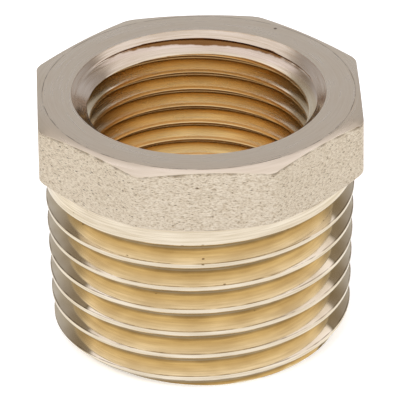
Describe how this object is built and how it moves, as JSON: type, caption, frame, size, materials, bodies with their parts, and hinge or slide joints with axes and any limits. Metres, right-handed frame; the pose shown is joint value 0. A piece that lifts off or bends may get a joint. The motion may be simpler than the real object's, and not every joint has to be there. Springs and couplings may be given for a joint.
{
  "type": "hex bushing",
  "caption": "Short brass reducing bush with a flat-sided wrench head, a tapered pipe thread outside and a smaller parallel pipe thread inside.",
  "frame": {"origin": "centre of the small end's flat ring, at the free end of the male thread", "axes": "+Z along the bore, from the small end towards the head's open mouth; X and Y square to two pairs of the head's flats"},
  "size_m": [0.022, 0.022, 0.0178],
  "materials": {
    "brass": "satin"
  },
  "bodies": {
    "root": {"bushing_body": "brass"}
  },
  "joints": []
}
